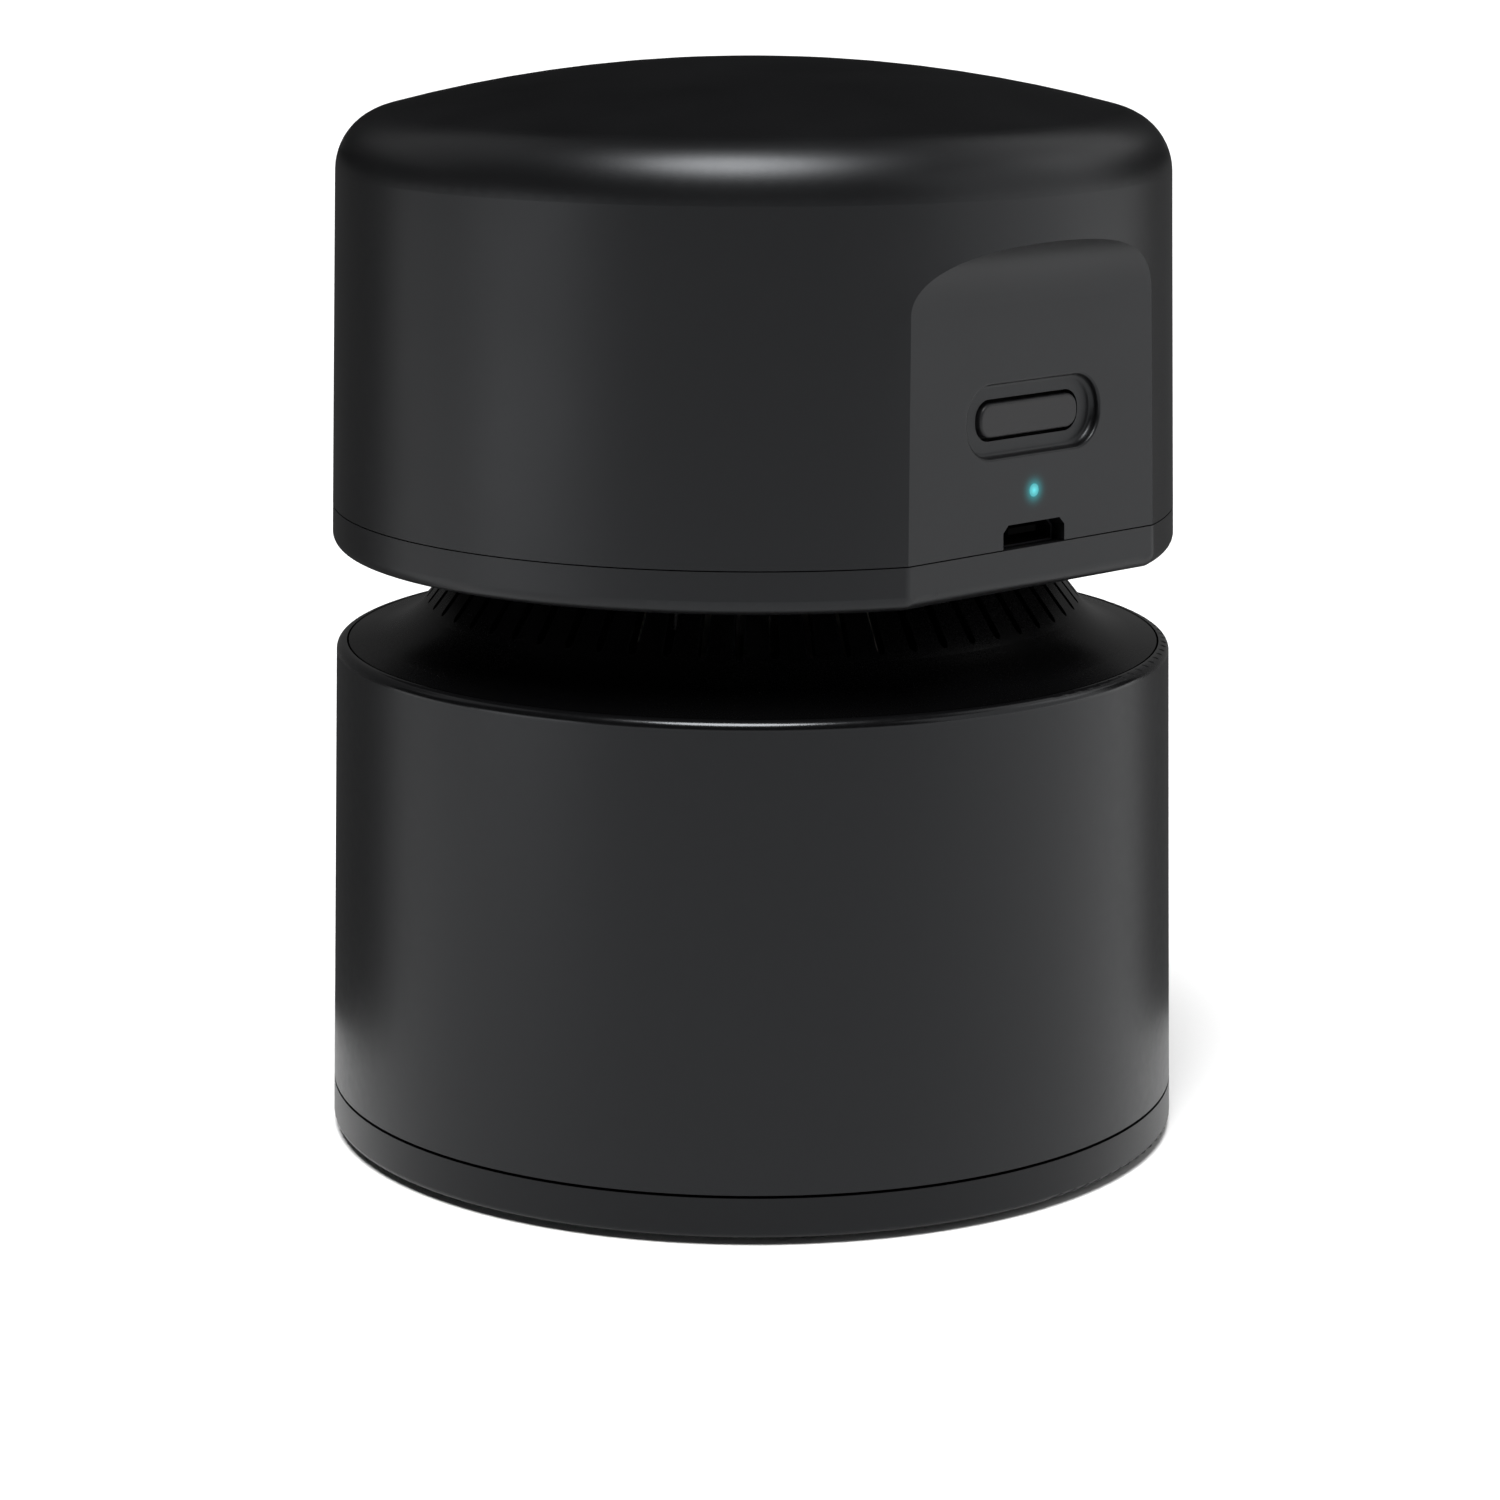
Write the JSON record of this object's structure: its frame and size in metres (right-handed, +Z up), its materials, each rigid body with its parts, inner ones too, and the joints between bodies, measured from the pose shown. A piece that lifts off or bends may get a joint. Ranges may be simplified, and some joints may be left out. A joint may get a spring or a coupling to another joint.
{
  "type": "desktop mini vacuum cleaner",
  "caption": "Palm-sized cordless desk vacuum: domed motor head with a flat control panel, slotted waist, twist-off dust cup and bristled base.",
  "frame": {"origin": "on the desk plane under the middle of the base, at the bristle tips", "axes": "+Z up along the drum's axis; the control panel faces -Y"},
  "size_m": [0.087, 0.087, 0.1091],
  "materials": {
    "black_shell": "fine satin moulded black",
    "button_plastic": "satin black",
    "lamp_light": "clear, lit pale cyan",
    "inner_plastic": "plain moulded",
    "filter_plastic": "plain moulded",
    "filter_paper": "pleated paper",
    "filter_net": "fine woven net",
    "soft_rubber": "soft matt",
    "foam": "open foam",
    "cell_sleeve": "shrink sleeve",
    "red_wire": "insulated wire",
    "black_wire": "insulated wire",
    "board_laminate": "solder mask",
    "chip_plastic": "plain",
    "socket_insulator": "plain",
    "plunger_plastic": "plain",
    "end_cap_plastic": "plain",
    "impeller_plastic": "plain",
    "bristle_nylon": "nylon bristles",
    "motor_steel": "zinc plated",
    "magnet": "sintered",
    "winding_copper": "enamelled winding on steel poles",
    "brass": "plain",
    "bright_steel": "bright plated",
    "socket_steel": "black nickel plated",
    "screw_steel": "dark plated"
  },
  "bodies": {
    "cup": {"cup_shell": "black_shell", "base_plate": "black_shell", "inlet_duct": "inner_plastic", "bristle_strips": "bristle_nylon"},
    "gasket": {"cup_gasket": "soft_rubber"},
    "head": {"dome_cover": "black_shell", "head_base": "black_shell", "vent_collar": "black_shell", "led_light_pipe": "lamp_light", "status_led": "lamp_light", "usb_shell": "socket_steel", "usb_insulator": "socket_insulator", "fan_plate": "inner_plastic", "battery_cradle": "inner_plastic", "motor_gasket": "soft_rubber", "battery_foam": "foam", "battery_cell": "cell_sleeve", "battery_tabs": "bright_steel", "battery_lead_positive": "red_wire", "battery_lead_negative": "black_wire", "motor_lead_positive": "red_wire", "motor_lead_negative": "black_wire", "control_board": "board_laminate", "charge_chip": "chip_plastic", "push_switch": "chip_plastic", "motor_can": "motor_steel", "motor_magnets": "magnet", "motor_bushings": "brass", "motor_end_cap": "end_cap_plastic", "motor_terminals": "brass", "head_screws": "screw_steel", "motor_screws": "screw_steel", "cradle_screws": "screw_steel", "collar_screws": "screw_steel", "fan_plate_screws": "screw_steel", "board_screws": "screw_steel"},
    "filter": {"filter_frame": "filter_plastic", "filter_pleats": "filter_paper", "filter_mesh": "filter_net", "filter_gasket": "soft_rubber"},
    "rotor": {"motor_shaft": "bright_steel", "motor_armature": "winding_copper", "motor_commutator": "brass", "impeller": "impeller_plastic"},
    "button": {"power_button": "button_plastic", "switch_plunger": "plunger_plastic"}
  },
  "joints": [
    {"name": "head_twist", "type": "hinge", "parent": "cup", "child": "gasket", "pos_m": [0, 0, 0.045], "axis": [0, 0, 1], "range_deg": [0, 45]},
    {"name": "head_lift", "type": "slide", "parent": "gasket", "child": "head", "axis": [0, 0, 1], "range_m": [0, 0.003]},
    {"name": "filter_pull", "type": "slide", "parent": "head", "child": "filter", "axis": [0, 0, -1], "range_m": [0, 0.0045]},
    {"name": "rotor_spin", "type": "hinge", "parent": "head", "child": "rotor", "pos_m": [0, 0, 0.0687], "axis": [0, 0, 1], "continuous": true},
    {"name": "button_press", "type": "slide", "parent": "head", "child": "button", "axis": [0, 1, 0], "range_m": [0, 0.001], "stiffness_N_per_m": 1500}
  ],
  "couplings": [
    {"joint": "head_lift", "follows": "head_twist", "m_per_rad": 0.0038196}
  ]
}
